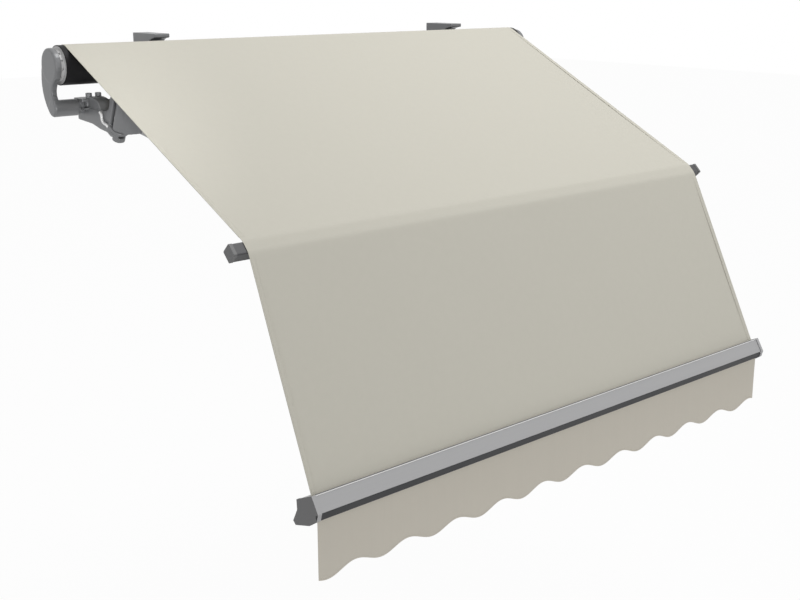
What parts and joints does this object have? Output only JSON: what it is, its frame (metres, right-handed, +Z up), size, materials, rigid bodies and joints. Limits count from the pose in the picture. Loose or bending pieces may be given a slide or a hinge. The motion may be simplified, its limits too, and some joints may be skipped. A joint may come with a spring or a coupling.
{
  "type": "folding arm awning",
  "caption": "Folding arm awning on wall brackets, with a roller, folding arms under two slopes of plain pale cloth bent over a crease bar, a front bar and a wavy valance.",
  "frame": {"origin": "On the wall plane, at the middle of the awning's length and level with the torsion bar.", "axes": "+Z is up, +Y points into the wall, the awning reaches out along -Y, and +X is to the right seen from the front."},
  "size_m": [2.5234, 1.8055, 1.6111],
  "materials": {
    "cast_grey": "satin grey paint",
    "bar_grey": "satin light grey coat",
    "cap_grey": "matt",
    "dark_steel": "satin dark grey coat",
    "zinc_steel": "zinc plated",
    "black_plastic": "matt",
    "awning_cloth": "woven awning cloth"
  },
  "bodies": {
    "frame": {"torsion_bar": "dark_steel", "roller_end_bracket_left": "cast_grey", "roller_end_bracket_right": "cast_grey", "idle_pin": "zinc_steel", "tube_motor": "dark_steel", "wall_bracket_left": "cast_grey", "bracket_jaw_left": "cast_grey", "bracket_bolt_left": "zinc_steel", "shoulder_left": "cast_grey", "shoulder_cap_left": "cast_grey", "shoulder_bolt_outer_left": "zinc_steel", "shoulder_bolt_inner_left": "zinc_steel", "shoulder_pin_left": "zinc_steel", "wall_bracket_right": "cast_grey", "bracket_jaw_right": "cast_grey", "bracket_bolt_right": "zinc_steel", "shoulder_right": "cast_grey", "shoulder_cap_right": "cast_grey", "shoulder_bolt_outer_right": "zinc_steel", "shoulder_bolt_inner_right": "zinc_steel", "shoulder_pin_right": "zinc_steel", "cloth_upper": "awning_cloth"},
    "roller": {"roller_tube": "dark_steel", "roller_plug_left": "cap_grey", "roller_plug_right": "cap_grey", "motor_drive_wheel": "black_plastic"},
    "upper_arm_left": {"upper_arm_root_left": "cast_grey", "upper_arm_tube_left": "bar_grey", "upper_arm_end_left": "cast_grey", "arm_spring_left": "zinc_steel"},
    "elbow_left": {"elbow_block_left": "cast_grey", "bar_glide_left": "black_plastic", "elbow_pin_inner_left": "zinc_steel", "elbow_pin_outer_left": "zinc_steel"},
    "forearm_left": {"forearm_root_left": "cast_grey", "forearm_tube_left": "bar_grey", "forearm_end_left": "cast_grey"},
    "upper_arm_right": {"upper_arm_root_right": "cast_grey", "upper_arm_tube_right": "bar_grey", "upper_arm_end_right": "cast_grey", "arm_spring_right": "zinc_steel"},
    "elbow_right": {"elbow_block_right": "cast_grey", "bar_glide_right": "black_plastic", "elbow_pin_inner_right": "zinc_steel", "elbow_pin_outer_right": "zinc_steel"},
    "forearm_right": {"forearm_root_right": "cast_grey", "forearm_tube_right": "bar_grey", "forearm_end_right": "cast_grey"},
    "front_bar": {"front_bar": "bar_grey", "front_bar_cap_left": "cap_grey", "front_bar_cap_right": "cap_grey", "front_foot_left": "cast_grey", "front_foot_right": "cast_grey", "front_pin_left": "zinc_steel", "front_pin_right": "zinc_steel", "valance": "awning_cloth"},
    "crease_bar": {"crease_bar": "bar_grey", "crease_bar_cap_left": "cap_grey", "crease_bar_cap_right": "cap_grey", "cloth_lower": "awning_cloth"}
  },
  "joints": [
    {"name": "left_shoulder_fold", "type": "hinge", "parent": "frame", "child": "upper_arm_left", "pos_m": [-1.105, -0.47703, -0.01107], "axis": [0, -0.4384, 0.8988], "range_deg": [0, 58], "deforming": ["cloth_upper"]},
    {"name": "left_elbow_inner", "type": "hinge", "parent": "upper_arm_left", "child": "elbow_left", "pos_m": [-0.68717, -1.18333, -0.35555], "axis": [0, -0.4384, 0.8988], "range_deg": [-58, 0]},
    {"name": "left_elbow_outer", "type": "hinge", "parent": "elbow_left", "child": "forearm_left", "pos_m": [-0.65217, -1.29779, -0.40571], "axis": [0, -0.8988, 0.4384], "range_deg": [-58, 0]},
    {"name": "left_front_joint", "type": "hinge", "parent": "forearm_left", "child": "front_bar", "pos_m": [-1.07, -1.64227, -1.112], "axis": [0, -0.8988, 0.4384], "range_deg": [0, 58]},
    {"name": "right_shoulder_fold", "type": "hinge", "parent": "frame", "child": "upper_arm_right", "pos_m": [1.105, -0.47703, -0.01107], "axis": [0, -0.4384, 0.8988], "range_deg": [-58, 0]},
    {"name": "right_elbow_inner", "type": "hinge", "parent": "upper_arm_right", "child": "elbow_right", "pos_m": [0.68717, -1.18333, -0.35555], "axis": [0, -0.4384, 0.8988], "range_deg": [0, 58]},
    {"name": "right_elbow_outer", "type": "hinge", "parent": "elbow_right", "child": "forearm_right", "pos_m": [0.65217, -1.29779, -0.40571], "axis": [0, -0.8988, 0.4384], "range_deg": [0, 58]},
    {"name": "crease_bar_slide", "type": "slide", "parent": "elbow_left", "child": "crease_bar", "axis": [-1, 0, 0], "range_m": [0, 0.4705], "deforming": ["cloth_lower"]},
    {"name": "roller_wind", "type": "hinge", "parent": "frame", "child": "roller", "pos_m": [0, -0.21, 0.16], "axis": [-1, 0, 0], "range_deg": [0, 1102]}
  ],
  "couplings": [
    {"joint": "left_elbow_inner", "follows": "left_shoulder_fold", "ratio": -1},
    {"joint": "left_elbow_outer", "follows": "left_shoulder_fold", "ratio": -1},
    {"joint": "left_front_joint", "follows": "left_shoulder_fold", "ratio": 1},
    {"joint": "right_shoulder_fold", "follows": "left_shoulder_fold", "ratio": -1},
    {"joint": "right_elbow_inner", "follows": "left_shoulder_fold", "ratio": 1},
    {"joint": "right_elbow_outer", "follows": "left_shoulder_fold", "ratio": 1},
    {"joint": "crease_bar_slide", "follows": "left_shoulder_fold", "m_per_rad": 0.4643},
    {"joint": "roller_wind", "follows": "left_shoulder_fold", "ratio": 18.989}
  ]
}
